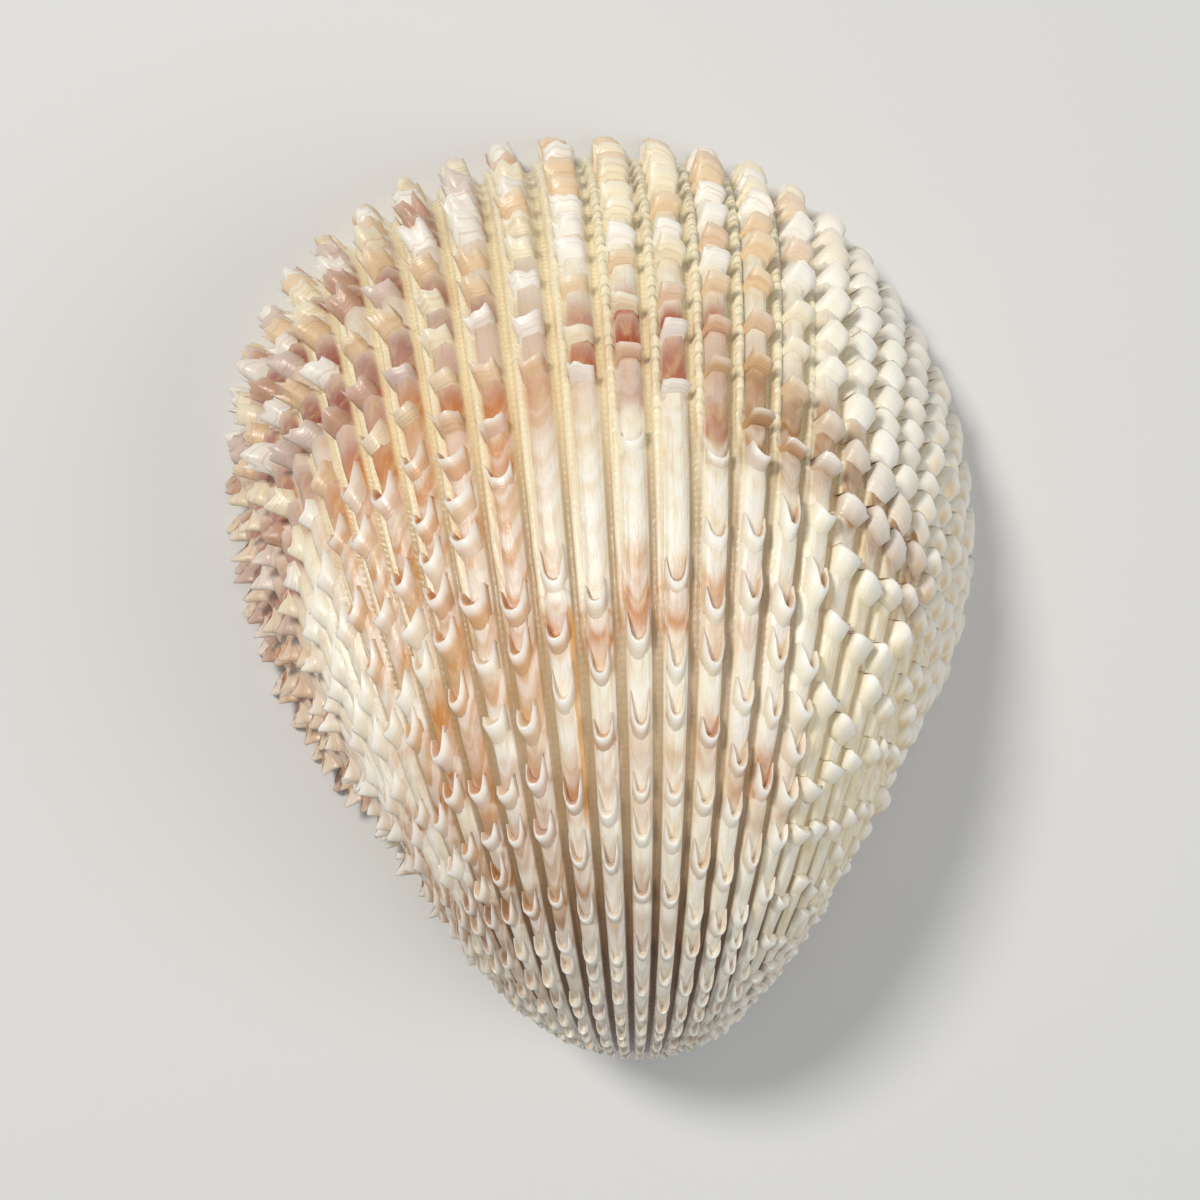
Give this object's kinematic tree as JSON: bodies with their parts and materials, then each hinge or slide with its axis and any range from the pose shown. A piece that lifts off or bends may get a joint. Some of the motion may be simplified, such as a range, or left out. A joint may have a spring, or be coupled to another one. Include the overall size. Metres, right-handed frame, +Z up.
{
  "type": "cockle shell",
  "caption": "One valve of a spiny cockle, a deep ribbed cup with rows of small erect scales and a curled beak, resting on its margin with the hollow down.",
  "frame": {"origin": "centre of the part's box in X and Y, on the plane of the margin that it rests on", "axes": "+Z up out of the convex side, +Y from the hinge towards the free margin, +X towards the front end of the shell"},
  "size_m": [0.0512, 0.0596, 0.0278],
  "materials": {
    "shell": "natural shell, cream with orange and mauve brown bands, satin with a soft gloss on the scales"
  },
  "bodies": {
    "root": {"valve": "shell"}
  },
  "joints": []
}
